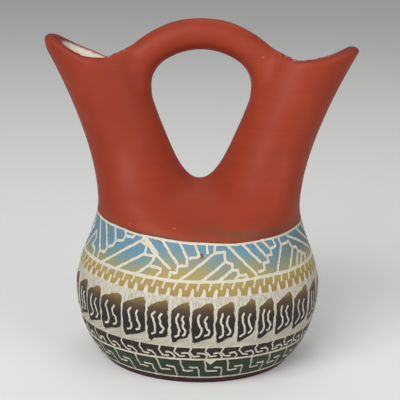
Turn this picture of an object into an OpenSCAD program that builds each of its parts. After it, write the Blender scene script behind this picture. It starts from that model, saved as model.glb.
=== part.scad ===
// A wedding vase: one round belly that parts into two leaning spouts, joined by an arched handle.
// Thrown and joined as one piece of fired clay. It stands on z = 0, with its front towards -Y.

/* [Foot and belly] */
// Width of the flat foot
foot_d = 111; // [96:1:122]
// Width of the belly at its widest
belly_d = 147; // [136:1:160]
// Height of the widest place of the belly
belly_h = 44; // [38:1:50]
// Round under the edge of the foot
foot_round = 2; // [1:0.5:3]

/* [Neck] */
// Width of the neck from side to side
waist_w = 121; // [112:1:130]
// Height of the narrowest place of the neck
waist_h = 94.5; // [88:0.5:100]
// Height where the front starts to flatten towards the neck
shoulder_h = 78; // [72:1:84]
// Height of the fork between the spouts, at the bottom of the window
fork_h = 107; // [100:1:114]
// Radius of the fork, seen from the front
fork_r = 7.3; // [6:0.1:9]
// How far under the fork the two spouts start to part
parting = 25; // [18:1:30]

/* [Spouts] */
// Distance between the outer tips of the two mouths
span_w = 185; // [176:0.2:194]
// Depth of a spout from front to back, above the neck
spout_depth = 48; // [42:1:52]
// Depth of a mouth from front to back
mouth_depth = 42; // [38:1:46]
// Distance from the middle of the vase to the inner end of a mouth's opening
mouth_start = 50.5; // [49:0.5:57]
// Distance from the middle to the place where the rim is lowest
dip_x = 57; // [55:0.5:61]
// Height of the rim at its lowest place
dip_h = 179.6; // [174:0.2:184]
// Height of the left outer tip
left_tip_h = 192.6; // [188:0.2:198]
// Height of the right outer tip, which was cut a little lower
right_tip_h = 188.6; // [185:0.2:194]

/* [Handle] */
// Height of the top of the handle
handle_h = 203; // [198:1:210]
// Thickness of the handle at its top
handle_d = 18.4; // [15:0.2:21]
// Thickness of the handle where it grows out of a spout, seen from the front
handle_root_d = 25; // [22:0.5:28]
// Thickness of the handle there, seen from above
handle_root_w = 27; // [22:1:34]
// Distance between the two roots of the handle, from middle to middle
handle_w = 82.6; // [78:0.2:88]
// Height of the arch of the handle, along its middle
arch_h = 33; // [30:0.5:36]
// Distance from the middle to the crest where the rim runs into the handle
crest_x = 41; // [38:0.5:44]
// Height of that crest
crest_h = 186.5; // [183:0.5:190]

/* [Wall] */
// Thickness of the wall
wall = 5; // [4:0.5:6]
// Thickness of the floor
floor_t = 7; // [5:0.5:10]
// Thickness of the rounded lip at the front and back of a mouth
lip_t = 7; // [6:0.2:8]
// Thickness of the lip at the outer tip
tip_t = 9; // [7:0.5:11]
// Round between the floor and the wall, inside
floor_round = 9; // [6:1:12]

/* [Belt] */
// Height of the line under the plain slip
belt_top = 84.4; // [83:0.2:86]
// Height of the line under the feathers
feather_low = 65; // [63:0.5:67]
// Height at which the pale ground begins, under the key band
ground_top = 57; // [55:0.5:59]
// Height of the line under the panels
panel_low = 27.2; // [25:0.2:29]
// Height of the line over the fret
fret_top = 18.2; // [16:0.2:20]
// Height of the line under the fret
fret_low = 4.8; // [4:0.2:7]
// Width of a scratched line
line_w = 1.6; // [1.2:0.1:2]
// Depth of a scratched line, and of the scratched ground
line_deep = 0.5; // [0.3:0.05:0.8]
// Number of panels round the belly
panel_count = 32; // [24:1:36]
// Number of key teeth round the belly
key_count = 68; // [48:2:72]
// Number of feather groups round the belly
feather_count = 9; // [6:1:10]
// Number of fret steps round the belly
fret_count = 31; // [24:1:36]
// Number of scrolls round the belly
scroll_count = 38; // [28:1:44]

/* [Hidden] */

foot_r = foot_d / 2;
belly_r = belly_d / 2;
waist_r = waist_w / 2;
reach = span_w / 2;
reach_h = 186;            // height where a spout has turned out to its full reach
lip_r = 3;                // height of the round of the lip
lower_h = belly_h + 6;    // half height of the ellipse that the belly follows down to the foot
lower_w = (belly_r - foot_r) / (1 - sqrt(1 - pow(belly_h / lower_h, 2)));
neck_top_h = fork_h + 25; // height where the spouts have their own depth
flare = 1.6;              // how late the outer side of a spout turns out
belly_n = 22;             // number of points round one half of the outside

function smooth(t) = let (u = min(1, max(0, t))) u * u * (3 - 2 * u);
function mix(a, b, t) = a + (b - a) * t;

// Half width of the vase at a height, seen from the front
function half_width(z) =
    z < belly_h ? belly_r - lower_w * (1 - sqrt(1 - pow((belly_h - z) / lower_h, 2)))
    : z < waist_h ? mix(belly_r, waist_r, smooth((z - belly_h) / (waist_h - belly_h)))
    : mix(waist_r, reach, pow(min(1, (z - waist_h) / (reach_h - waist_h)), flare));

// Half depth of a lobe at a height: low down it lies on the round body, higher up it is the spout's
function half_depth(z) =
    mix(0.866 * half_width(z),
        mix(spout_depth, mouth_depth, smooth((z - neck_top_h) / (dip_h - neck_top_h))) / 2,
        smooth((z - shoulder_h) / (neck_top_h - shoulder_h)));

// A skin is [wall taken off, height of its fork, radius of its fork, how far the inner side of a
// spout turns out above the fork, how far it turns out near the rim].
OUTSIDE = [0, fork_h, fork_r, crest_x - 2.5 - sqrt(2 * fork_r * (dip_h - fork_h)), 0];
inner_fork_h = fork_h - wall - 1;
inner_fork_r = fork_r + wall / 2;
INSIDE = [wall, inner_fork_h, inner_fork_r, 0,
    mouth_start - sqrt(2 * inner_fork_r * (dip_h - inner_fork_h))];

// Distance from the middle to the inner side of a spout, over the fork
function inner_side(z, skin) =
    let (full = dip_h - skin[1], rise = min(full, z - skin[1]), t = rise / full)
    sqrt(2 * skin[2] * rise) + skin[3] * pow(t, 3) + skin[4] * pow(t, 8);

// One point of a level line. The angle runs round one half of the vase: 0 is its outer side,
// 180 the middle of the front and -180 the middle of the back. Side is -1 for left, 1 for right.
// Low down the line is an oval. Towards the fork it becomes two lobes, which part at the fork:
// groove is the share of the depth that the middle has lost there, and it passes 1 at the fork.
function skin_point(side, angle, z, inset, skin) =
    let (w = half_width(z) - skin[0] - inset,
         d = half_depth(z) - skin[0] - inset,
         under = min(parting, max(0, skin[1] - z)),
         edge = z > skin[1] ? inner_side(z, skin) + inset : 0,
         mid = (w + edge * smooth((z - skin[1]) / 30)) / 2,
         fork_mid = (half_width(skin[1]) - skin[0]) / 2,
         steep = 4 * skin[2] / pow(fork_mid, 2),
         groove = z > skin[1] ? 1 / pow(1 - pow(edge / mid, 2), 2)
             : 1 - steep * under - (1 - steep * parting) * pow(under / parting, 2),
         c = abs(cos(angle)),
         lobe_x = abs(angle) > 90 ? mid * sqrt(1 - (1 - pow(edge / mid, 2)) * c) : mid + (w - mid) * c,
         part = smooth(1 - under / parting),
         slide = smooth((z - belly_h) / (skin[1] - belly_h)),
         x = mix(w * cos(angle / 2), lobe_x, slide),
         oval = 1 - pow(x / w, 2),
         lobes = x > mid ? 1 - pow((x - mid) / (w - mid), 2) : 1 - groove * pow(1 - pow(x / mid, 2), 2),
         y = sqrt(max(0, mix(oval * pow(w, 2), lobes * pow(d, 2), part))))
    [side * x, angle > 0 ? -y : y, z];

// Height of the crest of the rim at a distance from the middle: high at the tip, low at the dip,
// and rising again into the handle
function rim_at(side, x) =
    let (out = min(1, (x - dip_x) / (reach - tip_t / 2 - dip_x)))
    x < dip_x ? mix(dip_h, crest_h, pow((dip_x - x) / (dip_x - crest_x), 1.5))
    : side < 0 ? mix(dip_h, left_tip_h, pow(out, 1.63)) : mix(dip_h, right_tip_h, pow(out, 2));

// Thickness of the lip round a mouth, which is widest where the handle grows out of it
function lip_at(angle) =
    mix(lip_t, abs(angle) > 90 ? mouth_start - crest_x + 1 : tip_t, pow(cos(angle), 2));

// Angles round the left half and the right half, each from the middle line back to it
function left_angles(n) = [for (i = [0 : n - 1]) -180 + 360 * i / n];
function right_angles(n) = [for (i = [0 : n - 1]) 180 - 360 * i / n];

// A ring of the body at one height. A row is [height, inset].
function body_ring(row, skin, n) = [
    for (a = left_angles(n)) skin_point(-1, a, row[0], row[1], skin),
    for (a = right_angles(n)) skin_point(1, a, row[0], row[1], skin)];

// Height at which the wall meets the rim, found in a few steps because the wall leans out
function wall_top(side, a, skin, z = dip_h, steps = 4) =
    steps == 0 ? z
    : wall_top(side, a, skin, rim_at(side, abs(skin_point(side, a, z, 0, skin)[0])) - lip_r, steps - 1);

// A point of one spout. A row is [share of the way from the fork to the rim, height over that].
function spout_point(side, a, row, skin) =
    skin_point(side, a, mix(skin[1], wall_top(side, a, skin), row[0]) + row[1], 0, skin);
// The same on the rounded lip, where a row is [share of the lip, share of its rounding].
function lip_point(side, a, row, skin) =
    let (p = skin_point(side, a, wall_top(side, a, skin), row[0] * lip_at(a), skin))
    [p[0], p[1], rim_at(side, abs(p[0])) - lip_r + lip_r * row[1]];
function spout_rings(side, rows, lips, skin, n) = concat(
    [for (row = rows) [for (a = side < 0 ? left_angles(n) : right_angles(n)) spout_point(side, a, row, skin)]],
    [for (row = lips) [for (a = side < 0 ? left_angles(n) : right_angles(n)) lip_point(side, a, row, skin)]]);

// Triangles between two rings of point numbers, split along the shorter diagonal,
// and from a ring to a point over it
function band(low, high, points) = [
    for (i = [0 : len(low) - 1])
        let (k = (i + 1) % len(low), a = low[i], b = high[i], c = high[k], d = low[k])
        each norm(points[a] - points[c]) < norm(points[b] - points[d])
            ? [[a, b, c], [a, c, d]] : [[a, b, d], [b, c, d]]];
function fan(ring, top) = [
    for (i = [0 : len(ring) - 1]) [ring[(i + 1) % len(ring)], ring[i], top]];
function middle(points) = [for (i = [0 : 2]) [for (p = points) p[i]] * [for (p = points) 1] / len(points)];

// The closed solid inside a skin: the body's rows up to the fork, then the rows of each spout.
// n is the number of points round one half.
module skin_solid(body_rows, spout_rows, lips, skin, n) {
    body_n = len(body_rows);
    left = spout_rings(-1, spout_rows, lips, skin, n);
    right = spout_rings(1, spout_rows, lips, skin, n);
    spout_n = len(left);
    points = concat(
        [for (row = body_rows) each body_ring(row, skin, n)],
        [for (ring = left) each ring],
        [for (ring = right) each ring],
        [middle(left[spout_n - 1]), middle(right[spout_n - 1])]);
    // On the last ring of the body the middles of front and back meet in one point, the fork
    body_ids = [for (r = [0 : body_n - 1])
        [for (i = [0 : 2 * n - 1]) r * 2 * n + (r == body_n - 1 && i == n ? 0 : i)]];
    fork = body_ids[body_n - 1];
    left_ids = concat([[for (i = [0 : n - 1]) fork[i]]],
        [for (r = [0 : spout_n - 1]) [for (i = [0 : n - 1]) body_n * 2 * n + r * n + i]]);
    right_ids = concat([[for (i = [n : 2 * n - 1]) fork[i]]],
        [for (r = [0 : spout_n - 1]) [for (i = [0 : n - 1]) body_n * 2 * n + (spout_n + r) * n + i]]);
    faces = concat(
        [body_ids[0]],
        [for (r = [0 : body_n - 2]) each band(body_ids[r], body_ids[r + 1], points)],
        [for (r = [0 : spout_n - 1]) each band(left_ids[r], left_ids[r + 1], points)],
        [for (r = [0 : spout_n - 1]) each band(right_ids[r], right_ids[r + 1], points)],
        fan(left_ids[spout_n], len(points) - 2),
        fan(right_ids[spout_n], len(points) - 1));
    polyhedron(points, faces, convexity = 8);
}

// Heights that crowd together towards the fork, where the level lines change fastest
function fork_rows(low, skin, n) = [for (i = [1 : n]) [mix(skin[1], low, pow(1 - i / n, 1.5)), 0]];

// Outside above the belt: the plain neck, both spouts with full mouths, and their rounded lips
module outside() {
    low = belt_top + line_w / 2;
    spouts = [for (i = [1 : 9]) [pow(i / 9, 1.7), 0]];
    lips = [for (b = [36 : 36 : 180]) [(1 - cos(b)) / 2, sin(b)]];
    skin_solid(concat([[low, 0]], fork_rows(low, OUTSIDE, 8)), spouts, lips, OUTSIDE, belly_n);
}

// A closed slice of the belly through level rings of points, one over the other
module slice(rings) {
    points = [for (ring = rings) each ring];
    n = len(rings[0]);
    top = len(rings) - 1;
    ids = [for (r = [0 : top]) [for (i = [0 : n - 1]) r * n + i]];
    polyhedron(points, concat([ids[0]], [for (r = [0 : top - 1]) each band(ids[r], ids[r + 1], points)],
        [[for (i = [n - 1 : -1 : 0]) ids[top][i]]]), convexity = 4);
}

// A plain slice through rows of [height, inset]
module plain_slice(rows) slice([for (row = rows) body_ring(row, OUTSIDE, belly_n)]);

// A scratched channel round the belly
module line_ring(z) plain_slice([[z - line_w / 2, line_deep], [z + line_w / 2, line_deep]]);

// A band of slip between two heights, with teeth that lean to the right as they rise.
// solid is the share of each pitch that the tooth takes; rows is the number of steps in height.
module toothed_slice(low, high, count, solid, lean, rows) {
    pitch = 360 / count;
    slice([for (r = [0 : rows])
        let (z = mix(low, high, r / rows))
        [for (i = [0 : count - 1], c = [[0, 0], [solid, 0], [solid, 1], [1, 1]])
            on_belly(pitch * (i + c[0] + lean * r / rows), z, -line_deep * c[1])]]);
}

// A place on the round belly. Angle 0 is the middle of the front, and 90 is the right side.
function on_belly(angle, z, rise) =
    let (r = half_width(z) + rise) [r * sin(angle), -r * cos(angle), z];

// A patch with a convex outline of [angle, height], between two heights over the wall
module patch(outline, low, high) {
    points = [for (h = [high, low]) each [for (c = outline) on_belly(c[0], c[1], h)]];
    hull() polyhedron(points, [[for (i = [0 : len(points) - 1]) i]]);
}

// Dark panels that stand on the scratched ground, each with a slanting top
module panels() {
    pitch = 360 / panel_count;
    tall = ground_top - panel_low;
    outline = [[0.03, 0.74], [0.87, 0.86], [0.92, 0.5], [0.92, 0.21], [0.06, 0.1], [0, 0.42]];
    color([0.2, 0.17, 0.16])
    for (i = [0 : panel_count - 1])
        patch([for (c = outline) [pitch * (i - 0.18 + c[0]), panel_low + tall * c[1]]], -1, 0.1);
}

// Scratched lines of the feather groups, each [start, end] as [share of the pitch, share of the height]
module feather_lines() {
    pitch = 360 / feather_count;
    low = feather_low;
    tall = belt_top - low;
    lines = [[[0, 0.94], [0.36, 0.06]], [[0.2, 0.94], [0.47, 0.37]], [[0.37, 0.94], [0.56, 0.52]],
        [[-0.53, 0.06], [-0.12, 0.74]], [[-0.26, 0.06], [0, 0.5]]];
    wide = line_w / belly_r * 90 / PI;
    color([0.84, 0.82, 0.75])
    for (i = [0 : feather_count - 1], line = lines) {
        from = [pitch * (i + 0.34 + line[0][0]), low + tall * line[0][1]];
        to = [pitch * (i + 0.34 + line[1][0]), low + tall * line[1][1]];
        patch([from - [wide, 0], from + [wide, 0], to + [wide, 0], to - [wide, 0]], -line_deep, 1);
    }
}

// The belt: its bands of slip are slices of the belly, with scratched lines between them
module belt() {
    half = line_w / 2;
    foot_rows = [for (b = [0 : 45 : 90]) [foot_round * (1 - cos(b)), foot_round * (1 - sin(b))]];
    color([0.31, 0.1, 0.1])
    plain_slice(concat(foot_rows, [[fret_low - half, 0]]));
    color([0.2, 0.29, 0.2])
    toothed_slice(fret_low + half, fret_top - half, fret_count, 0.8, 0.3, 1);
    color([0.22, 0.16, 0.16])
    toothed_slice(fret_top + half, panel_low - half, scroll_count, 0.75, -0.5, 1);
    color([0.84, 0.82, 0.75]) {
        for (z = [fret_low, fret_top, feather_low, belt_top]) line_ring(z);
        plain_slice([for (i = [0 : 4]) [mix(panel_low - half, ground_top, i / 4), line_deep]]);
    }
    color([0.67, 0.61, 0.31])
    toothed_slice(ground_top, feather_low - half, key_count, 0.65, 0.4, 1);
    color([0.43, 0.59, 0.69])
    plain_slice([for (i = [0 : 2]) [mix(feather_low + half, belt_top - half, i / 2), 0]]);
    panels();
}

// Hollow of the belly, of both spouts and through both mouths
module hollow() {
    floor_rows = [for (b = [0 : 30 : 90])
        [floor_t + floor_round * (1 - cos(b)), floor_round * (1 - sin(b))]];
    belly_rows = [for (i = [1 : 5]) [mix(floor_t + floor_round, shoulder_h, i / 5), 0]];
    throats = [for (i = [1 : 7]) [pow(i / 7, 1.5), 0], [1, 2 * lip_t]];
    skin_solid(concat(floor_rows, belly_rows, fork_rows(shoulder_h, INSIDE, 6)), throats, [], INSIDE, 16);
}

// One ring of the handle: its middle follows half an ellipse, its thickness grows to the roots,
// and past them it runs down inside the spout and closes there
handle_n = 14;
sink = 32; // degrees that each end of the handle runs on into its spout
function handle_ring(angle) =
    let (arch = [handle_w / 2 * cos(angle), handle_h - handle_d / 2 - arch_h + arch_h * sin(angle)],
         out = [cos(angle) / handle_w * 2, sin(angle) / arch_h],
         n = out / norm(out),
         slim = pow(max(0, sin(angle)), 0.6),
         dive = 1 - 2.6 * pow(min(0, sin(angle)), 2),
         r = dive * mix([handle_root_d, handle_root_w], [handle_d, handle_d], slim) / 2)
    [for (i = [0 : handle_n - 1]) let (b = 360 * i / handle_n)
        [arch[0] + n[0] * r[0] * cos(b), r[1] * sin(b), arch[1] + n[1] * r[0] * cos(b)]];

module handle() {
    stations = [for (i = [0 : 24]) -sink + (180 + 2 * sink) * i / 24];
    last = len(stations) - 1;
    points = [for (a = stations) each handle_ring(a)];
    ids = [for (s = [0 : last]) [for (i = [0 : handle_n - 1]) s * handle_n + i]];
    faces = concat([ids[0]], [for (s = [0 : last - 1]) each band(ids[s], ids[s + 1], points)],
        [[for (i = [handle_n - 1 : -1 : 0]) ids[last][i]]]);
    polyhedron(points, faces, convexity = 4);
}

module vase() {
    difference() {
        union() {
            color([0.63, 0.28, 0.19]) {
                outside();
                handle();
            }
            belt();
        }
        color([0.87, 0.85, 0.78]) hollow();
        feather_lines();
    }
}

vase();
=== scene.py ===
# %% [markdown]
# # A wedding vase with an etched belt
#
# The real vase is one piece of earthenware: a round body thrown on the wheel, two spouts that part
# from its shoulder, and a pulled handle that joins them. It was dipped in red slip, airbrushed
# with a belt of colours, and then the pattern was scratched through the colour into the pale clay.
# This lesson follows that order: the wall is drawn up ring by ring, the handle is set on and
# smoothed in, the belt is scratched on a flat sheet and wrapped round the body, and the finishes
# come last. All sizes are in millimetres and are turned into metres where a mesh is made.

# %% Load the imported model and keep its meshes where they stand
import math
from collections import namedtuple

import bmesh
import bpy
from mathutils import Matrix, Vector, kdtree, noise
from mathutils.geometry import delaunay_2d_cdt


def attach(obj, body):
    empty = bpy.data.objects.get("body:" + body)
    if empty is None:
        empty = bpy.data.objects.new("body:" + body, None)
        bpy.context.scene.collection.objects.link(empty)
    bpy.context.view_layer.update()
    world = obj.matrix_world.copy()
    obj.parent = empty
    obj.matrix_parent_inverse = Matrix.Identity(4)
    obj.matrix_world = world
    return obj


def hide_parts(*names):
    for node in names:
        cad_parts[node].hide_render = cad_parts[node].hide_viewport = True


MM = 0.001
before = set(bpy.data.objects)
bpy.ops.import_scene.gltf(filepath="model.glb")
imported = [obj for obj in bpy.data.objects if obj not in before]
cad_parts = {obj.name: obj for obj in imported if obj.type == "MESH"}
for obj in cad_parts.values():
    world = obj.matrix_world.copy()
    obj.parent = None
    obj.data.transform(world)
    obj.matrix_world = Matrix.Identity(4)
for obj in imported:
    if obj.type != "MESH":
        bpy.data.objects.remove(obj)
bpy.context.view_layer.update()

# %% [markdown]
# ## The camera first
#
# The photograph looks down on the vase by about twelve degrees, from two thirds of a metre away.
# Such a camera is set by where it stands, what it looks at and how long its lens is. It is placed
# before anything is modelled, because every shape is then judged through it.

# %% Place the camera
LOOK_AT_H = 109.2
CAMERA_FAR = 690.0
LOOK_DOWN = math.radians(12.43)
CAMERA_ROLL = math.radians(1.15)
FOCAL_PIXELS = 1150.0
FRAME_PIXELS = 400.0
LOOK_AT_PIXEL = (199.5, 175.0)

camera_data = bpy.data.cameras.new("camera")
camera = bpy.data.objects.new("camera", camera_data)
bpy.context.scene.collection.objects.link(camera)
camera_data.lens = camera_data.sensor_width * FOCAL_PIXELS / FRAME_PIXELS
camera_data.shift_x = 0.5 - LOOK_AT_PIXEL[0] / FRAME_PIXELS
camera_data.shift_y = LOOK_AT_PIXEL[1] / FRAME_PIXELS - 0.5
camera_h = LOOK_AT_H + CAMERA_FAR * math.sin(LOOK_DOWN)
camera_place = Vector((0, -CAMERA_FAR * math.cos(LOOK_DOWN), camera_h)) * MM
tilt = Matrix.Rotation(math.pi / 2 - LOOK_DOWN, 4, "X")
roll = Matrix.Rotation(CAMERA_ROLL, 4, "Z")
camera.matrix_world = Matrix.Translation(camera_place) @ tilt @ roll
bpy.context.scene.camera = camera
print("camera lens:", round(camera_data.lens, 1), "mm")

# %% [markdown]
# ## The form's rule
#
# Seen from the front, the vase has one half width at each height; seen from the side, one half
# depth. Between them a level line runs round the clay. Low down it is an oval. Towards the fork it
# turns into two lobes, and above the fork the lobes are two separate rings, one for each spout.
# One rule gives all of these lines, so the outside, the hollow and the belt can't disagree.

# %% Sizes of the body
FOOT_R, BELLY_R, BELLY_H = 55.5, 73.5, 44.0
WAIST_R, WAIST_H, SHOULDER_H = 60.5, 94.5, 78.0
FORK_H, FORK_R, PARTING = 107.0, 7.3, 25.0
REACH, REACH_H = 92.5, 186.0
SPOUT_DEPTH, MOUTH_DEPTH, NECK_TOP_H = 48.0, 42.0, 132.0
DIP_X, DIP_H = 57.0, 179.6
CREST_X, CREST_H = 41.0, 186.5
TIP_H = {-1: 192.6, 1: 188.6}
TIP_POWER = {-1: 1.63, 1: 2.0}
WALL, LIP_R, TIP_T = 5.0, 3.0, 9.0
MOUTH_START = 50.5
FLOOR_T, FLOOR_ROUND, FOOT_ROUND = 7.0, 9.0, 2.0
LOWER_H = BELLY_H + 6
LOWER_W = (BELLY_R - FOOT_R) / (1 - math.sqrt(1 - (BELLY_H / LOWER_H) ** 2))
LEAN_POWER = 1.6  # how late a spout leans out
ROUND_DEPTH = 0.866  # depth to width of a lobe on the round body
LOBE_RISE = 30.0  # height in which a lobe's middle moves out with its inner side


# %% Width and depth at a height
def ease(t):
    """0 below 0, 1 above 1, and a smooth S between"""
    t = min(1.0, max(0.0, t))
    return t * t * (3 - 2 * t)


def mix(a, b, t):
    return a + (b - a) * t


def half_width(z):
    if z < BELLY_H:
        return BELLY_R - LOWER_W * (1 - math.sqrt(max(0.0, 1 - ((BELLY_H - z) / LOWER_H) ** 2)))
    if z < WAIST_H:
        return mix(BELLY_R, WAIST_R, ease((z - BELLY_H) / (WAIST_H - BELLY_H)))
    return mix(WAIST_R, REACH, min(1.0, (z - WAIST_H) / (REACH_H - WAIST_H)) ** LEAN_POWER)


def half_depth(z):
    """half depth of a lobe: low down it lies on the round body, higher up it is the spout's"""
    spout = mix(SPOUT_DEPTH, MOUTH_DEPTH, ease((z - NECK_TOP_H) / (DIP_H - NECK_TOP_H))) / 2
    return mix(ROUND_DEPTH * half_width(z), spout, ease((z - SHOULDER_H) / (NECK_TOP_H - SHOULDER_H)))


print("half width at the waist:", half_width(WAIST_H), "mm, half depth:", round(half_depth(WAIST_H), 1), "mm")

# %% [markdown]
# A skin is one side of the clay wall: how much is taken off the outside, where its fork is, how
# round the fork is, and how the inner side of a spout turns out near the rim.

# %% The outside and the inside skin
Skin = namedtuple("Skin", "wall fork_h fork_r spread power")


def skin_of(wall, fork_h, fork_r, inner_x, power):
    """a skin whose spouts begin at inner_x from the middle where the rim is lowest"""
    return Skin(wall, fork_h, fork_r, inner_x - math.sqrt(2 * fork_r * (DIP_H - fork_h)), power)


OUTSIDE = skin_of(0.0, FORK_H, FORK_R, CREST_X - 2.5, 3)
INSIDE = skin_of(WALL, FORK_H - WALL - 1, FORK_R + WALL / 2, MOUTH_START, 8)


print("the spouts part", FORK_H, "mm up, and the hollow", INSIDE.fork_h, "mm up")


# %% Depth and place on a level line
def inner_side(z, skin):
    """distance from the middle to a spout's inner side"""
    full = DIP_H - skin.fork_h
    rise = min(full, max(0.0, z - skin.fork_h))
    return math.sqrt(2 * skin.fork_r * rise) + skin.spread * (rise / full) ** skin.power


def lobe_at(z, skin, inset):
    """outer side, inner side and middle of a lobe at a height"""
    w = half_width(z) - skin.wall - inset
    edge = inner_side(z, skin) + inset if z > skin.fork_h else 0.0
    return w, edge, (w + edge * ease((z - skin.fork_h) / LOBE_RISE)) / 2


def depth_at(x, z, skin, inset=0.0):
    """half depth of the clay at a distance x from the middle, or -1 where there is none"""
    w, edge, middle = lobe_at(z, skin, inset)
    d = half_depth(z) - skin.wall - inset
    under = min(PARTING, max(0.0, skin.fork_h - z))
    fork_middle = (half_width(skin.fork_h) - skin.wall) / 2
    steep = 4 * skin.fork_r / fork_middle ** 2
    if z > skin.fork_h:
        groove = 1 / (1 - (edge / middle) ** 2) ** 2
    else:
        groove = 1 - steep * under - (1 - steep * PARTING) * (under / PARTING) ** 2
    part = ease(1 - under / PARTING)
    oval = 1 - (x / w) ** 2
    if x > middle:
        lobes = 1 - ((x - middle) / (w - middle)) ** 2
    else:
        lobes = 1 - groove * (1 - (x / middle) ** 2) ** 2
    square = mix(oval * w * w, lobes * d * d, part)
    return math.sqrt(square) if square > 0 else (0.0 if square > -1e-6 else -1.0)


def skin_point(side, angle, z, skin, inset=0.0):
    """angle 0 is the outer side of this half, 180 the middle of the front, -180 of the back"""
    w, edge, middle = lobe_at(z, skin, inset)
    turn = math.radians(angle)
    c = abs(math.cos(turn))
    if abs(angle) > 90:
        lobe_x = middle * math.sqrt(1 - (1 - (edge / middle) ** 2) * c)
    else:
        lobe_x = middle + (w - middle) * c
    slide = ease((z - BELLY_H) / (skin.fork_h - BELLY_H))
    x = mix(w * math.cos(turn / 2), lobe_x, slide)
    y = max(0.0, depth_at(x, z, skin, inset))
    return Vector((side * x, -y if angle > 0 else y, z))


wall_now = depth_at(0, BELLY_H, OUTSIDE) - depth_at(0, BELLY_H, INSIDE)
print("wall at the belly's front:", round(wall_now, 2), "mm")


# %% The rim
RIM_TILT = {-1: 0.12, 1: 0.125}
TILT_END = {-1: (53.0, 68.0), 1: (80.0, 92.0)}
RIM_STEPS = 5


def rim_at(side, x, y=0.0):
    """height of the rim's crest: high at the tip, low at the dip, and up again into the handle;
    the front of each rim stands a little higher than its back"""
    start, end = TILT_END[side]
    tilt = -y * RIM_TILT[side] * (1 - ease((x - start) / (end - start)))
    if x < DIP_X:
        return tilt + mix(DIP_H, CREST_H, ((DIP_X - x) / (DIP_X - CREST_X)) ** 1.5)
    out = min(1.0, (x - DIP_X) / (REACH - TIP_T / 2 - DIP_X))
    return tilt + mix(DIP_H, TIP_H[side], out ** TIP_POWER[side])


def wall_top(side, angle, skin, inset=0.0):
    """height at which a leaning wall meets the rim, found in a few steps"""
    z = DIP_H
    for _ in range(RIM_STEPS):
        point = skin_point(side, angle, z, skin, inset)
        z = rim_at(side, abs(point.x), point.y) - LIP_R
    return z


print("belly", BELLY_R * 2, "mm wide, tips", REACH * 2, "mm apart")

# %% [markdown]
# ## Drawing up the wall
#
# A potter raises a wall ring by ring, and so does this cell. A circle lies on the floor. Its edges
# are extruded, and the new ring is set on the next level line. At the fork the middles of front and
# back are merged into one corner, and each half of the ring is drawn up by itself. Subdividing a
# cage would be quicker, but the level lines hold the outline to the measured one at every height.


# %% Helpers for picking and editing a piece
def deselect():
    if bpy.context.object and bpy.context.object.mode != "OBJECT":
        bpy.ops.object.mode_set(mode="OBJECT")
    bpy.ops.object.select_all(action="DESELECT")


def pick(thing):
    deselect()
    thing.select_set(True)
    bpy.context.view_layer.objects.active = thing


def open_mesh(thing):
    pick(thing)
    bpy.ops.object.mode_set(mode="EDIT")


def close_mesh():
    """turns all faces outward and leaves edit mode"""
    bpy.ops.mesh.select_all(action="SELECT")
    bpy.ops.mesh.normals_make_consistent(inside=False)
    bpy.ops.object.mode_set(mode="OBJECT")


def select_where(thing, kind, test):
    """selects the faces or the edges that pass the test"""
    bpy.ops.mesh.select_mode(type=kind)
    bpy.ops.mesh.select_all(action="DESELECT")
    mesh = bmesh.from_edit_mesh(thing.data)
    for part in mesh.faces if kind == "FACE" else mesh.edges:
        if test(part):
            part.select_set(True)
    bmesh.update_edit_mesh(thing.data)


# %% Helpers for a ring of edges
def start_ring(name, points):
    """a filled circle whose corners are set on the points"""
    deselect()
    bpy.ops.mesh.primitive_circle_add(vertices=len(points), radius=FOOT_R * MM, fill_type="NGON")
    thing = bpy.context.object
    thing.name = name
    for corner, point in zip(thing.data.vertices, points):
        corner.co = point * MM
    bpy.ops.object.mode_set(mode="EDIT")
    return thing


def corners_at(corners, points):
    """the corner nearest to each point"""
    tree = kdtree.KDTree(len(corners))
    for i, corner in enumerate(corners):
        tree.insert(corner.co, i)
    tree.balance()
    return [corners[tree.find(point * MM)[1]] for point in points]


def select_ring(thing, ring):
    """selects the closed ring of edges whose corners lie on the points"""
    bpy.ops.mesh.select_all(action="DESELECT")
    mesh = bmesh.from_edit_mesh(thing.data)
    found = corners_at(list(mesh.verts), ring)
    for a, b in zip(found, found[1:] + found[:1]):
        mesh.edges.get((a, b)).select_set(True)


def extrude_ring(thing, ring, points):
    """extrudes the closed ring of edges and sets the new ring on the points"""
    select_ring(thing, ring)
    bpy.ops.mesh.extrude_edges_move()
    mesh = bmesh.from_edit_mesh(thing.data)
    for corner, point in zip(corners_at([v for v in mesh.verts if v.select], ring), points):
        corner.co = point * MM
    bmesh.update_edit_mesh(thing.data)
    return points


def close_ring(thing, ring):
    """fills the ring with one face"""
    select_ring(thing, ring)
    bpy.ops.mesh.edge_face_add()


# %% Level lines of the body and of one spout
RING = 48  # corners round half of the body, or round one spout
SAME_PLACE = 1e-6


def half_angles(side):
    """angles round the left half, and round the right half, each from the middle back to it"""
    step = 360 / RING
    return [-180 + step * i for i in range(RING)] if side < 0 else [180 - step * i for i in range(RING)]


def body_ring(z, inset, skin):
    return [skin_point(side, angle, z, skin, inset) for side in (-1, 1) for angle in half_angles(side)]


def spout_ring(side, share, skin):
    """a share of the way from the fork to the rim"""
    return [skin_point(side, angle, mix(skin.fork_h, wall_top(side, angle, skin), share), skin)
            for angle in half_angles(side)]


# %% Rows from the foot to the fork
def round_rows(low, radius, turns):
    """heights and insets of the rows round an edge"""
    turns = [math.radians(turn) for turn in turns]
    return [(low + radius * (1 - math.cos(turn)), radius * (1 - math.sin(turn))) for turn in turns]


def straight_rows(low, n):
    return [(mix(low, SHOULDER_H, i / n), 0.0) for i in range(1, n + 1)]


def fork_rows(skin, n):
    """rows that crowd together towards the fork, where the level lines change fastest"""
    return [(mix(skin.fork_h, SHOULDER_H, (1 - i / n) ** 1.5), 0.0) for i in range(1, n + 1)]


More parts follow.
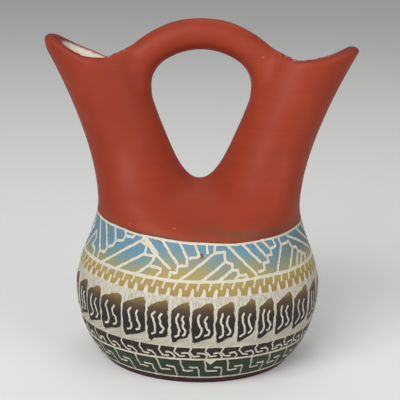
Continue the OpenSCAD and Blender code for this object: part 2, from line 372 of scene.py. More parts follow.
# %% Draw up one skin
def draw_skin(name, body_rows, skin, spouts_of):
    """draws up the body's rows, parts them at the fork, and draws up each spout's rings"""
    first, *rest = body_rows
    ring = body_ring(*first, skin)
    thing = start_ring(name, ring)
    for z, inset in rest:
        ring = extrude_ring(thing, ring, body_ring(z, inset, skin))
    bpy.ops.mesh.select_all(action="DESELECT")
    mesh = bmesh.from_edit_mesh(thing.data)
    for corner in mesh.verts:
        corner.select_set((corner.co - ring[0] * MM).length < SAME_PLACE)
    bpy.ops.mesh.merge(type="CENTER")
    for side, half in ((-1, ring[:RING]), (1, ring[RING:])):
        for points in spouts_of(side):
            half = extrude_ring(thing, half, points)
        close_ring(thing, half)
    close_mesh()
    print(name, "has", len(thing.data.polygons), "faces")
    return thing


# %% Draw up the outside, with a rounded foot and rounded lips
SPOUT_RINGS = 22
LIP_TURNS = range(20, 201, 20)  # degrees round the lip; past 180 it goes down into the mouth
LIP_END = 3.0  # how far the last ring goes down
LIP_IN = 0.4  # how much wider than the wall the lip is
TIP_LIP, TIP_FILL = 1.0, 6.0  # more of it at the tip, and how much clay fills the tip


def lip_ring(side, turn):
    round_turn = math.radians(min(180, turn))
    low = LIP_END if turn > 180 else 0.0
    ring = []
    for angle in half_angles(side):
        widest = MOUTH_START - CREST_X - LIP_IN if abs(angle) > 90 else WALL + LIP_IN + TIP_LIP + TIP_FILL
        lip = mix(WALL + LIP_IN, widest, math.cos(math.radians(angle)) ** 2)
        inset = (1 - math.cos(round_turn)) / 2 * lip
        point = skin_point(side, angle, wall_top(side, angle, OUTSIDE), OUTSIDE, inset)
        point.z = rim_at(side, abs(point.x), point.y) - LIP_R + LIP_R * math.sin(round_turn) - low
        ring.append(point)
    return ring


def outside_spouts(side):
    rings = [spout_ring(side, (i / SPOUT_RINGS) ** 1.6, OUTSIDE) for i in range(1, SPOUT_RINGS + 1)]
    return rings + [lip_ring(side, turn) for turn in LIP_TURNS]


outside_rows = round_rows(0.0, FOOT_ROUND, (0, 30, 60, 90))
outside_rows += straight_rows(FOOT_ROUND, 24) + fork_rows(OUTSIDE, 16)
vase = draw_skin("vase_body", outside_rows, OUTSIDE, outside_spouts)

# %% [markdown]
# ## The hollow
#
# The inside of the real vase follows the outside at the thickness of the wall. The same rule with
# the inside skin gives a solid of the hollow, drawn up beyond the rims. It is cut out later.

# %% Draw up the hollow
THROAT_RINGS = 16
PAST_RIM = Vector((0, 0, 14))


def inside_spouts(side):
    rings = []
    for i in range(1, THROAT_RINGS + 1):
        share = (i / THROAT_RINGS) ** 1.5
        ring = spout_ring(side, share, INSIDE)
        for point, angle in zip(ring, half_angles(side)):
            if abs(angle) < 90:
                point.x -= side * TIP_FILL * ease((share - 0.6) / 0.4) * math.cos(math.radians(angle)) ** 2
        rings.append(ring)
    return rings + [[point + PAST_RIM for point in rings[-1]]]


inside_rows = round_rows(FLOOR_T, FLOOR_ROUND, (0, 20, 40, 60, 80, 90))
inside_rows += straight_rows(FLOOR_T + FLOOR_ROUND, 16) + fork_rows(INSIDE, 12)
hollow = draw_skin("hollow", inside_rows, INSIDE, inside_spouts)

# %% [markdown]
# ## The pulled handle
#
# A potter pulls a handle from a roll of wet clay, so it is round, thinnest at the top and thicker
# where it is pressed on. A path with a round bevel and its own radius at each point does the same.
# The ends run on into the spouts, so that no end face shows.

# %% Lay the handle's path and give it its thickness
HANDLE_W, HANDLE_H, HANDLE_D, HANDLE_ROOT = 82.6, 203.0, 18.4, 26.0
ARCH_H, SINK = 33.0, 32.0
ARCH_MIDDLE_H = HANDLE_H - HANDLE_D / 2 - ARCH_H
ROOT_SLIM = 2.6  # how fast the sunk ends grow thin again inside the clay
deselect()
bpy.ops.curve.primitive_nurbs_path_add(radius=HANDLE_W / 2 * MM)
handle = bpy.context.object
bpy.ops.object.mode_set(mode="EDIT")
bpy.ops.curve.select_all(action="SELECT")
bpy.ops.curve.subdivide(number_cuts=8)
bpy.ops.object.mode_set(mode="OBJECT")
spline = handle.data.splines[0]
last = len(spline.points) - 1
for i, point in enumerate(spline.points):
    turn = math.radians(-SINK + (180 + 2 * SINK) * i / last)
    low = min(0.0, math.sin(turn))
    slim = max(0.0, math.sin(turn)) ** 0.6
    point.co = (HANDLE_W / 2 * math.cos(turn) * MM, 0, (ARCH_MIDDLE_H + ARCH_H * math.sin(turn)) * MM, 1)
    point.radius = (1 - ROOT_SLIM * low ** 2) * mix(HANDLE_ROOT, HANDLE_D, slim) / 2 * MM
spline.use_endpoint_u = True
spline.resolution_u = 6
handle.data.dimensions = "3D"
handle.data.bevel_depth = 1.0
handle.data.bevel_resolution = 10
handle.data.use_fill_caps = True
pick(handle)
bpy.ops.object.convert(target="MESH")
handle = bpy.context.object
open_mesh(handle)
bpy.ops.mesh.select_all(action="SELECT")
bpy.ops.mesh.remove_doubles(threshold=SAME_PLACE)
close_mesh()
bpy.ops.object.transform_apply(location=True, rotation=True, scale=True)
print("handle has", len(handle.data.polygons), "faces, path points", last + 1)

# %% [markdown]
# ## Joining the clay
#
# Wet clay is smeared over a joint until no seam shows. Here the handle is united with the outside
# and the hollow is cut out. A voxel remesh then turns all of it into one even net, and smoothing
# moves the corners of that net like a wet finger. A bevel can't do this, because the edge between
# handle and spout is a curve on two rounded surfaces. The net must be even for the smoothing.


# %% Unite, hollow out, remesh
def cut_with(thing, tool, operation):
    pick(thing)
    boolean = thing.modifiers.new(operation, "BOOLEAN")
    boolean.object = tool
    boolean.operation = operation
    boolean.solver = "EXACT"
    bpy.ops.object.modifier_apply(modifier=boolean.name)
    bpy.data.objects.remove(tool)


VOXEL = 1.6
cut_with(vase, handle, "UNION")
cut_with(vase, hollow, "DIFFERENCE")
pick(vase)
remesh = vase.modifiers.new("remesh", "REMESH")
remesh.mode = "VOXEL"
remesh.voxel_size = VOXEL * MM
bpy.ops.object.modifier_apply(modifier=remesh.name)
print("one net of", len(vase.data.polygons), "faces")


# %% Smooth by shares
def smooth_by(thing, name, share_at, repeat):
    """smooths in steps, and each corner moves by its own share, so that no edge is left"""
    group = thing.vertex_groups.new(name=name)
    for corner in thing.data.vertices:
        share = share_at(corner.co / MM)
        if share > 0:
            group.add([corner.index], share, "REPLACE")
    pick(thing)
    smooth = thing.modifiers.new(name, "SMOOTH")
    smooth.factor = 0.5
    smooth.iterations = repeat
    smooth.vertex_group = name
    bpy.ops.object.modifier_apply(modifier=name)
    thing.vertex_groups.clear()


# %% Where the joints are smeared
def in_mouth(point, inset):
    x, z = abs(point.x), point.z
    return abs(point.y) < depth_at(x, z, OUTSIDE, inset)


def between(value, low, high, fade_in, fade_out):
    """1 between low and high and 0 outside, with a soft fade at both ends"""
    return ease((value - low) / fade_in) * ease((high - value) / fade_out)


def near_root(point):
    """the skin round the crease between handle and spout, outside the mouths"""
    x, y, z = abs(point.x), abs(point.y), point.z
    if in_mouth(point, 4.0):
        return 0.0
    return between(x, 16, 62, 9, 10) * between(z, 130, 208, 14, 16) * ease((28 - y) / 7)


def on_fork(point):
    """front and back of the fork, away from the edge of the window"""
    x, y, z = abs(point.x), abs(point.y), point.z
    if in_mouth(point, 2.5):
        return 0.0
    share = between(z, 89, 160, 8, 30) * ease((y - 8) / 5) * ease((half_width(z) - 7 - x) / 16)
    if z > FORK_H - 3:
        share *= ease((x - inner_side(z, OUTSIDE) - 3) / 7)
    return share


def on_saddle(point):
    """the saddle at the bottom of the window"""
    if in_mouth(point, 2.5):
        return 0.0
    return ease((19 - abs(point.x)) / 8) * between(point.z, 94, 126, 8, 10)


# %% Press the saddle, and smooth all of it a little and the joints a lot
PRESS, PRESS_TOP = 2.0, 126  # how far a thumb pressed down the back of the saddle, and up to where
for corner in vase.data.vertices:
    x, y, z = corner.co / MM
    if z < PRESS_TOP and y > depth_at(abs(x), z, INSIDE):
        corner.co.z -= PRESS * MM * ease((15 - abs(x)) / 13) * ease((y - 6) / 10) * ease((z - 88) / 12)
smooth_by(vase, "all_over", lambda point: 1.0, 3)
smooth_by(vase, "saddle", on_saddle, 12)
smooth_by(vase, "roots", near_root, 44)
smooth_by(vase, "fork", on_fork, 150)
pick(vase)
bpy.ops.object.shade_smooth()
print("smoothed,", len(vase.data.vertices), "corners")

# %% [markdown]
# ## The line where the belt begins
#
# A hand-scratched line parts the plain slip from the belt. It isn't level: it sags in front. The
# net of the body is cut along it, so that the colour and the relief both stop at a clean edge. A
# bisect only cuts along a plane, so the net is first shifted up or down until the line lies level,
# then bisected, and then shifted back. Below the line the outside is drawn in a little, and the
# belt is laid over it as a skin of its own.


# %% Heights of the hand-drawn lines round the belly
def along(table, angle):
    """height of a hand-drawn line at an angle; 0 is the front, 90 the right side"""
    angle = (angle + 180) % 360 - 180
    for (a, low), (b, high) in zip(table, table[1:]):
        if a <= angle <= b:
            return mix(low, high, ease((angle - a) / (b - a)))
    return table[0][1]


LINE_A = [(-180, 86), (-120, 87.4), (-75, 88), (-52, 87.2), (-30, 85.5), (0, 83.9), (20, 82.9),
          (42, 83.6), (70, 84.6), (120, 85.4), (180, 86)]
LINE_B = [(-180, 65), (-60, 65.6), (0, 64.1), (60, 64.9), (180, 65)]
LINE_C = [(-180, 56.6), (-60, 57.5), (0, 56.1), (60, 55.7), (180, 56.6)]
LINE_D = [(-180, 27), (-30, 27.3), (60, 26.6), (180, 27)]
LINE_E = [(-180, 18), (-60, 17.7), (0, 18.9), (60, 17.8), (180, 18)]
LINE_F = [(-180, 4.6), (0, 5.0), (180, 4.6)]
LINE_W = 1.3
LEVEL_A = 84.0  # where line A lies while the net is shifted
NEAR_CUT = 2.5  # half height of the faces that the cut looks at
STRIP = 0.12  # height of the step from the slip's edge to the drawn-in part
UNDER_BELT = 0.7  # how far the body is drawn in


def angle_of(point):
    return math.degrees(math.atan2(point.x, -point.y))


def on_outside(point):
    """true for the outer skin of the body, and false for the hollow"""
    return abs(point.y) > depth_at(abs(point.x), point.z, OUTSIDE, WALL / 2)


print("line A is", along(LINE_A, 0), "mm up in front and", along(LINE_A, 180), "mm behind")


# %% Cut the net along line A and draw in what lies below it
def from_level(point):
    """how far line A lies above or below its level place at this angle"""
    return along(LINE_A, angle_of(point)) + LINE_W / 2 - LEVEL_A


def shift_to_level(thing, sign):
    for corner in thing.data.vertices:
        corner.co.z -= sign * from_level(corner.co) * MM


def near_cut(point, height):
    """true on the outside close to the cut, while the net is shifted"""
    if abs(point.z - height) >= NEAR_CUT:
        return False
    point.z += from_level(point)
    return on_outside(point)


shift_to_level(vase, 1)
for height in (LEVEL_A, LEVEL_A - STRIP):
    open_mesh(vase)
    select_where(vase, "FACE", lambda face: near_cut(face.calc_center_median() / MM, height))
    bpy.ops.mesh.bisect(plane_co=(0, 0, height * MM), plane_no=(0, 0, 1))
    bpy.ops.object.mode_set(mode="OBJECT")
low_corners = [corner.index for corner in vase.data.vertices if corner.co.z / MM < LEVEL_A - STRIP / 2]
shift_to_level(vase, -1)
drawn_in = [corner for corner in (vase.data.vertices[i] for i in low_corners) if on_outside(corner.co / MM)]
for corner in drawn_in:
    corner.co -= Vector((corner.co.x, corner.co.y, 0)).normalized() * UNDER_BELT * MM
    corner.co.z = max(corner.co.z, UNDER_BELT * MM)
print("drawn in below line A:", len(drawn_in), "corners")

# %% [markdown]
# ## The belt, drawn flat
#
# The carver draws the belt as bands of small figures, and each is a closed outline or a scratched
# stroke. Here the belt is first a flat sheet: across is the angle round the belly in degrees, and up
# is the height in millimetres. All outlines go into one constrained triangulation, which splits the
# sheet along them. Nothing is painted from an image, and each mark keeps its own sharp edge and can
# be sunk into the clay, which a picture on the surface can't do.

# %% Strokes and outlines on the flat sheet
DEGREE = math.radians(1) * 72  # width of a degree on the sheet in millimetres
GRIT, GRAIN_SCALE = 0.22, 1.3  # how rough the grain of the clay makes an edge
UNEVEN = 0.35  # how much thicker or thinner a stroke gets on its way
marks = {"scratch": [], "panel": []}


def wobble(x, z, seed, size):
    """moves a place a little, as a hand does, and roughens it as the grain of the clay does"""
    place = Vector((x * 0.31, z * 0.37, seed))
    grit = Vector((x * DEGREE * GRAIN_SCALE, z * GRAIN_SCALE, seed + 40))
    across = size * noise.noise(place) + GRIT * noise.noise(grit)
    up = size * noise.noise(place + Vector((7, 3, 1)))
    return x + across / DEGREE, z + up + GRIT * noise.noise(grit + Vector((5, 2, 9)))


def resample(points, closed, step=0.9):
    """puts more points along a line, so that it can bend"""
    pairs = list(zip(points, points[1:] + points[:1])) if closed else list(zip(points, points[1:]))
    out = []
    for (x0, z0), (x1, z1) in pairs:
        n = max(1, round(math.hypot((x1 - x0) * DEGREE, z1 - z0) / step))
        out += [(mix(x0, x1, i / n), mix(z0, z1, i / n)) for i in range(n)]
    return out if closed else out + [points[-1]]


def outline(kind, points, seed=0.0, size=0.35):
    marks[kind].append([wobble(x, z, seed, size) for x, z in resample(points, True)])


def stroke(points, width, seed, size=0.3):
    """a scratched line of some width; it is a little uneven and its ends are blunt"""
    line = [wobble(x, z, seed, size) for x, z in resample(points, False)]
    left, right = [], []
    for i, (x, z) in enumerate(line):
        x0, z0 = line[max(0, i - 1)]
        x1, z1 = line[min(len(line) - 1, i + 1)]
        dx, dz = (x1 - x0) * DEGREE, z1 - z0
        long = math.hypot(dx, dz) or 1.0
        half = width / 2 * (1 + UNEVEN * noise.noise(Vector((x, z, seed + 5))))
        left.append((x - dz / long * half / DEGREE, z + dx / long * half))
        right.append((x + dz / long * half / DEGREE, z - dx / long * half))
    marks["scratch"].append(left + right[::-1])


# %% [markdown]
# The feathers come in groups. In each, bars that fall to the right meet bars that rise to it, and
# their ends are stepped. The groups in front follow the photograph, and those at the back are the
# same group again at an even pitch.

# %% Feather groups
GROUP_FAR_LEFT = [
    [(-70.8, 88.8), (-59, 71.3), (-58.5, 65)], [(-61.5, 88.5), (-53.3, 74.4), (-54, 71.3), (-58, 71.3)],
    [(-51.3, 88.5), (-48, 78.8), (-49, 76.3), (-52.5, 75)],
    [(-43.4, 88), (-41.3, 84.4), (-42.5, 80.6), (-47, 79.7)], [(-34, 88.5), (-36, 83.8), (-40.5, 83.4)],
    [(-82, 65.5), (-71, 79.5), (-67.5, 75.5), (-70, 71.5), (-65, 70.5), (-63.5, 65.5)]]
GROUP_LEFT = [
    [(-55, 65), (-40, 76.4), (-30.5, 83), (-29, 86)], [(-43.5, 65), (-28, 76), (-21.8, 75.6)],
    [(-30.5, 65), (-23.5, 71.3), (-21.5, 75.6)], [(-30.5, 82.5), (-27, 80.8), (-27.5, 76.4)],
    [(-24, 70.6), (-17.6, 69.8), (-17.6, 68.4), (-20, 65)], [(-21, 76.6), (-13, 70)],
    [(-19, 85), (-9.5, 72.4)],
    [(-9.8, 85), (-5.4, 76.3), (-5, 72.4), (-9.5, 71.9), (-10, 68.2), (-13, 68.4), (-13.5, 64.5)],
    [(-2.2, 85), (0.8, 77.2), (-4.6, 76)], [(4.2, 85), (4.8, 78.4)], [(8.8, 85), (8.2, 79)]]
GROUP_RIGHT = [
    [(13.5, 85), (28, 67.5), (29.5, 64)], [(21.5, 85), (32.5, 72)], [(28.5, 85), (36, 75)],
    [(34, 85), (39, 78.8)], [(41, 85), (43, 81.9)],
    [(30, 67.5), (33.7, 68.1), (33.7, 71.3), (37, 71.6), (36.7, 75), (40, 75), (39.7, 78.4),
     (43.7, 78.8), (43, 81.9)],
    [(-8.5, 64.5), (8, 78.8)], [(8, 78.8), (13.5, 79.7), (13.5, 74.4), (2, 64.5)],
    [(13.5, 74.4), (17, 72.8), (16.5, 69.7), (10, 64.5)],
    [(16.5, 69.7), (19.5, 69.7), (19.5, 66.9), (17.5, 64.5)], [(19.5, 66.9), (23.5, 66.9), (24, 64.5)]]
GROUP_SIDE = [
    [(40.5, 64.5), (48, 79), (46.5, 85)], [(48, 79), (55, 79.4), (57, 75), (49.5, 64.5)],
    [(57, 75.6), (61, 75), (61.5, 72.5), (55.5, 64.5)], [(61, 72), (65.5, 71.3), (60, 64.5)],
    [(65, 70), (69, 69.2), (66, 64.5)], [(51.5, 86), (55, 82.5), (68, 76.3), (80, 69.4), (83, 64)],
    [(64, 86), (73, 79.4), (84, 72.5)], [(75, 86), (86, 77)]]
print("feather strokes in front:", sum(map(len, (GROUP_FAR_LEFT, GROUP_LEFT, GROUP_RIGHT, GROUP_SIDE))))

# %% Scratch the feathers
FEATHER_W = 1.6
AT_LINE, PAST_LINE = 84.9, 5  # a stroke that ends above this runs on so far, to leave no gap at line A


def place_group(lines, about, seed, shift=0, stretch=1):
    for line in lines:
        points = [(about + shift + (x - about) * stretch, z) for x, z in line]
        for end, next_one in ((0, 1), (-1, -2)):
            (x, z), (x1, z1) = points[end], points[next_one]
            if z > AT_LINE:
                points[end] = (x + (x - x1) * (PAST_LINE / (z - z1)), z + PAST_LINE)
        stroke(points, FEATHER_W, seed)


place_group(GROUP_LEFT, -29.5, 1)
stroke([(-29, 85), (-20.5, 76.4)], 3.0, 12)
place_group(GROUP_FAR_LEFT, -60, 2)
place_group(GROUP_RIGHT, 13.5, 3)
place_group(GROUP_SIDE, 51.5, 4)
for i in range(5):
    place_group(GROUP_RIGHT, 13.5, 5 + i, shift=108 + 36.6 * i - 13.5, stretch=0.9)
print("feather strokes:", len(marks["scratch"]))

# %% [markdown]
# Under the feathers runs a band of key teeth: slits hang down from the line, and wedges of bare
# clay stand up between them. Below that the clay is scraped bare, and only the dark panels are left
# standing on it, each with two curved strokes.

# %% Key teeth, panels and their strokes
TEETH = 68
for i in range(TEETH):
    a = -180 + 360 / TEETH * i
    b, c = along(LINE_B, a), along(LINE_C, a)
    stroke([(a, b - 4.6), (a + 1.25, b - 0.2)], 1.15, 20 + i * 0.37, 0.6)
    wedge = [(a + 1.5, c - 0.3), (a + 3.9, c - 0.3), (a + 3.7, c + 4.0), (a + 2.9, c + 4.3)]
    outline("scratch", wedge, 50 + i * 0.41, 0.7)

# left and right end in degrees: 13 panels follow the photograph, the rest go round the back
panel_sides = [(-71, -60.5), (-60, -48.5), (-48, -35.5), (-34.5, -23), (-22, -12.5), (-11, -3), (-2, 7.5),
               (8.5, 16.5), (18, 26.5), (28, 36), (37.5, 48), (49, 61), (63, 73)]
rest = (287.5 - 75) / 19
panel_sides += [(75 + rest * i, 75 + rest * (i + 1) - 1.1) for i in range(19)]
CURVES = [[(3.4, 47), (2.5, 44), (3, 41), (4, 37.5), (3.5, 34.5), (1.6, 33)],
          [(6.7, 46), (5.6, 43.4), (6.2, 40), (7.5, 37), (7, 35), (5.6, 34.2)]]
PANEL_TOP = 53.6
for i, (a, b) in enumerate(panel_sides):
    w = (b - a) / 9.5
    lift = 0.8 * noise.noise(Vector((i * 1.7, 0.3, 0.1)))
    top = PANEL_TOP + lift
    sides = [(a + 0.2, top - 5.2), (a + 1.6 * w, top - 3.7), (b - 2.6 * w, top - 0.4), (b - 0.9 * w, top),
             (b - 0.1, top - 1.6), (b + 0.3, 43), (b + 0.1, 35), (b - 0.8 * w, 33.2), (a + 4.5 * w, 31.4),
             (a + 1.3 * w, 29.6), (a + 0.3, 30.6), (a, 40)]
    outline("panel", sides, i * 1.3, 0.8)
    for curve in CURVES:
        stroke([(a + x * w, z + lift * 0.6) for x, z in curve], 1.15, 90 + i, 0.9)
    stroke([(a - 0.55, 55.8), (a - 0.75, 44), (a - 0.4, 28)], 0.6, 130 + i, 0.8)
print("teeth:", TEETH * 2, "panels:", len(panel_sides))

# %% [markdown]
# The two lowest bands are a running scroll, made of pairs of small hooks, and a stepped fret.

# %% Scrolls and fret
SCROLL_W, FRET_W = 1.0, 1.05
scroll_starts = [-56, -46, -36.5, -26.5, -17, -9.5, -2.5, 5, 12, 20.5, 28.5, 38, 46, 53.5]
scroll_starts += [62.3 + 8.92 * i for i in range(27)]
for i, a in enumerate(scroll_starts):
    d, e = along(LINE_D, a), along(LINE_E, a)
    stroke([(a + 0.5, d), (a - 0.4, d - 3.2), (a + 1.4, e + 2.2), (a + 4.4, e + 2.2)], SCROLL_W, i, 0.8)
    stroke([(a + 6.8, e), (a + 7.3, e + 2.2), (a + 5.9, e + 4.2), (a + 3, e + 4.0)], SCROLL_W, i + 0.5, 0.8)
fret_starts = [-56, -43.5, -30.5, -19, -7.5, 4.3, 15, 27.5, 38.5, 51]
fret_starts += [62.8 + 12.06 * i for i in range(20)]
for i, a in enumerate(fret_starts):
    e, f = along(LINE_E, a), along(LINE_F, a)
    stroke([(a, e), (a + 1.3, f + 5.4), (a + 6.2, f + 5.2)], FRET_W, i + 0.2, 0.7)
    stroke([(a + 9.3, f), (a + 8.5, f + 7.9), (a + 4.4, f + 8.0)], FRET_W, i + 0.7, 0.7)
outline("scratch", [(4, 18.6), (10, 18.6), (7, 15.2)])
print("scrolls:", len(scroll_starts), "frets:", len(fret_starts))


# %% The long lines round the belly
AROUND = [-180 + 1.5 * i for i in range(241)]


def long_line(table, width, seed):
    """one band right round the sheet, with a wobble that meets itself at the back"""
    low, high = [], []
    for a in AROUND:
        c, s = math.cos(math.radians(a)), math.sin(math.radians(a))
        slow, fast, dense = (noise.noise(Vector((radius * c, radius * s, seed + more)))
                             for radius, more in ((3, 0), (40, 0), (25, 3)))
        thick = width * (1 + 0.45 * dense)
        middle_z = along(table, a) + (0.35 * slow + 0.25 * fast)
        low.append((a, middle_z - thick / 2))
        high.append((a, middle_z + thick / 2))
    return low, high


top_edge = [(a, along(LINE_A, a) + LINE_W / 2) for a in AROUND]
foot_edge = [(a, FOOT_ROUND) for a in AROUND]
bands = {
    "sheet": (foot_edge, top_edge),
    "line_a": (long_line(LINE_A, LINE_W, 6)[0], top_edge),
    "line_b": long_line(LINE_B, 1.75, 1),
    "line_e": long_line(LINE_E, 1.25, 2),
    "line_f": long_line(LINE_F, 1.15, 3),
    "ground": (long_line(LINE_D, 1.3, 5)[0], long_line(LINE_C, 0.6, 4)[1])}
print("marks on the sheet:", {kind: len(drawn) for kind, drawn in marks.items()}, "and", len(bands), "bands")

# %% [markdown]
# ## From the flat sheet to the belly
#
# One triangulation takes in every outline as edges that it keeps. Extra points are sown between
# the marks, so that the sheet can bend round the belly. Where a triangle lies tells its finish: its
# middle is inside a mark if the mark's outline winds round it. Then each corner is set on the
# outside skin, the two ends of the sheet are merged at the back, and the scratched faces are sunk
# a quarter of a millimetre by an inset with depth, as the carver's needle does.


# %% Triangulate the sheet
corners, edges, shapes = [], [], []
PAST_END = 205  # degrees from the front up to which a mark is drawn again past the sheet's end
SOWN_ACROSS, SOWN_UP = 192, 34


def add_line(points, closed=False):
    start = len(corners)
    corners.extend(Vector((x * DEGREE, z)) for x, z in points)
    edges.extend((start + i, start + i + 1) for i in range(len(points) - 1))
    if closed:
        edges.append((start + len(points) - 1, start))


for low, high in bands.values():
    add_line(low)
    add_line(high)
for end in (0, -1):
    add_line([foot_edge[end], top_edge[end]])
for kind, drawn in marks.items():
    for points in drawn:
        centre = sum(x for x, _ in points) / len(points)
        home = centre - 360 * round(centre / 360)
        for turn in (-360, 0, 360):
            if -PAST_END < home + turn < PAST_END:
                copy = [(x + (home + turn - centre), z) for x, z in points]
                add_line(copy, True)
                shapes.append((kind, min(x for x, _ in copy), max(x for x, _ in copy), copy))
for i in range(1, SOWN_ACROSS):
    a = -180 + 360 / SOWN_ACROSS * i
    for z in (FOOT_ROUND + 2.5 * k for k in range(1, SOWN_UP)):
        if z < along(LINE_A, a) - 0.4:
            corners.append(Vector((a * DEGREE, z)))
split = delaunay_2d_cdt(corners, edges, [], 0, 1e-4, False)
flat, triangles = split[0], split[2]
print("the sheet has", len(triangles), "triangles")


# %% Find the finish of a place
SLIP, BARE, GROUND = 0, 1, 2
SLOT = 4  # marks are kept by slots of so many degrees, so that only the near ones are tried


def winds_round(points, x, z):
    """how many times an outline runs round a place; it isn't 0 inside"""
    turns = 0
    for (x0, z0), (x1, z1) in zip(points, points[1:] + points[:1]):
        if (z0 <= z) != (z1 <= z):
            if x0 + (z - z0) / (z1 - z0) * (x1 - x0) > x:
                turns += 1 if z1 > z0 else -1
    return turns


def in_band(name, x, z):
    place = min(239.999, max(0.0, (x + 180) / 1.5))
    i = int(place)
    low, high = (mix(line[i][1], line[i + 1][1], place - i) for line in bands[name])
    return low < z < high


slots = {}
for shape in shapes:
    for slot in range(int(shape[1] // SLOT), int(shape[2] // SLOT) + 1):
        slots.setdefault(slot, []).append(shape)


# %% Ask for the finish
def finish_at(x, z):
    """slip, a bare scratched line, or the scraped ground between the panels"""
    kinds = {kind for kind, low, high, points in slots.get(int(x // SLOT), [])
             if low <= x <= high and winds_round(points, x, z)}
    on_line = any(in_band(name, x, z) for name in ("line_a", "line_b", "line_e", "line_f"))
    if "scratch" in kinds or on_line:
        return BARE
    return GROUND if in_band("ground", x, z) and "panel" not in kinds else SLIP


# %% Wrap the sheet round the belly
MERGE = 3e-5


def on_belly(across, z):
    angle = math.radians(across / DEGREE)
    x = half_width(z) * math.sin(angle)
    y = max(0.0, depth_at(abs(x) * (1 - 1e-9), z, OUTSIDE))
    return Vector((x, -y if math.cos(angle) > 0 else y, z)) * MM


# %% Make the belt's mesh
mesh = bmesh.new()
places = [mesh.verts.new(on_belly(x, z)) for x, z in flat]
for triangle in triangles:
    x = sum(flat[i].x for i in triangle) / 3 / DEGREE
    z = sum(flat[i].y for i in triangle) / 3
    if abs(x) < 180 and in_band("sheet", x, z):
        face = mesh.faces.new([places[i] for i in triangle])
        face.material_index = finish_at(x, z)
loose = [corner for corner in mesh.verts if not corner.link_faces]
bmesh.ops.delete(mesh, geom=loose, context="VERTS")
sheet = bpy.data.meshes.new("etched_belt")
for _ in (SLIP, BARE, GROUND):
    sheet.materials.append(None)
mesh.to_mesh(sheet)
mesh.free()
belt = bpy.data.objects.new("etched_belt", sheet)
bpy.context.scene.collection.objects.link(belt)
open_mesh(belt)
bpy.ops.mesh.select_all(action="SELECT")
bpy.ops.mesh.remove_doubles(threshold=MERGE)
close_mesh()
print("wrapped:", len(belt.data.polygons), "faces")

# %% Sink the scratched faces
ETCH_DEEP, ETCH_SLOPE = 0.28, 0.13
open_mesh(belt)
select_where(belt, "FACE", lambda face: face.material_index != SLIP)
bpy.ops.mesh.inset(
    thickness=ETCH_SLOPE * MM, depth=-ETCH_DEEP * MM, use_boundary=False, use_even_offset=False)
bpy.ops.object.mode_set(mode="OBJECT")
print("etched:", len(belt.data.polygons), "faces")

# %% [markdown]
# The belt's skin ends at the foot and at line A. Both edges are extruded: the lower one follows the
# rounded foot and is filled with the flat underside, and the upper one is turned in behind the
# plain slip, so that no gap shows from any side.


# %% Round the foot, and turn in the upper edge
def on_edge(test):
    return lambda edge: edge.is_boundary and all(test(corner.co / MM) for corner in edge.verts)


def move_ring(thing, inward, up):
    """extrudes the chosen ring and moves it towards the axis and up"""
    bpy.ops.mesh.extrude_edges_move()
    mesh = bmesh.from_edit_mesh(thing.data)
    for corner in mesh.verts:
        if corner.select:
            flat_way = Vector((corner.co.x, corner.co.y, 0)).normalized()
            corner.co += (Vector((0, 0, up)) - flat_way * inward) * MM
    bmesh.update_edit_mesh(thing.data)


open_mesh(belt)
select_where(belt, "EDGE", on_edge(lambda point: point.z < 5))
foot_turn = [math.radians(turn) for turn in (0, 30, 60, 90)]
for before, now in zip(foot_turn, foot_turn[1:]):
    inward, down = math.cos(before) - math.cos(now), math.sin(before) - math.sin(now)
    move_ring(belt, FOOT_ROUND * inward, FOOT_ROUND * down)
bpy.ops.mesh.edge_face_add()
select_where(belt, "EDGE", on_edge(lambda point: point.z > 75))
move_ring(belt, 0.5, -0.1)
move_ring(belt, 0.4, -1.5)
close_mesh()
pick(belt)
bpy.ops.object.shade_smooth_by_angle(angle=math.radians(35))
print("belt has", len(belt.data.polygons), "faces and stands at", min(v.co.z for v in belt.data.vertices))

# %% [markdown]
# ## What the finishes have in common
#
# The real vase is painted with slip, a thin cream of coloured clay, rubbed smooth and fired once.
# Everything on it is uneven in the same few ways: soft patches where the slip is thicker, a fine
# grain, lines left by a tool, and small specks. Each of these is a node group, built once and
# placed in every finish with values of its own. Object coordinates drive them, because a pattern
# through the solid has no seam on a round pot. The groups put out masks and heights only, and
# numbers that are the same all over stay on the shader.


# %% Helpers for nodes
def paint(red, green, blue):
    """a colour on the 0 to 255 scale as the linear values that a shader takes"""
    return tuple(((c / 255 + 0.055) / 1.055) ** 2.4 for c in (red, green, blue)) + (1.0,)


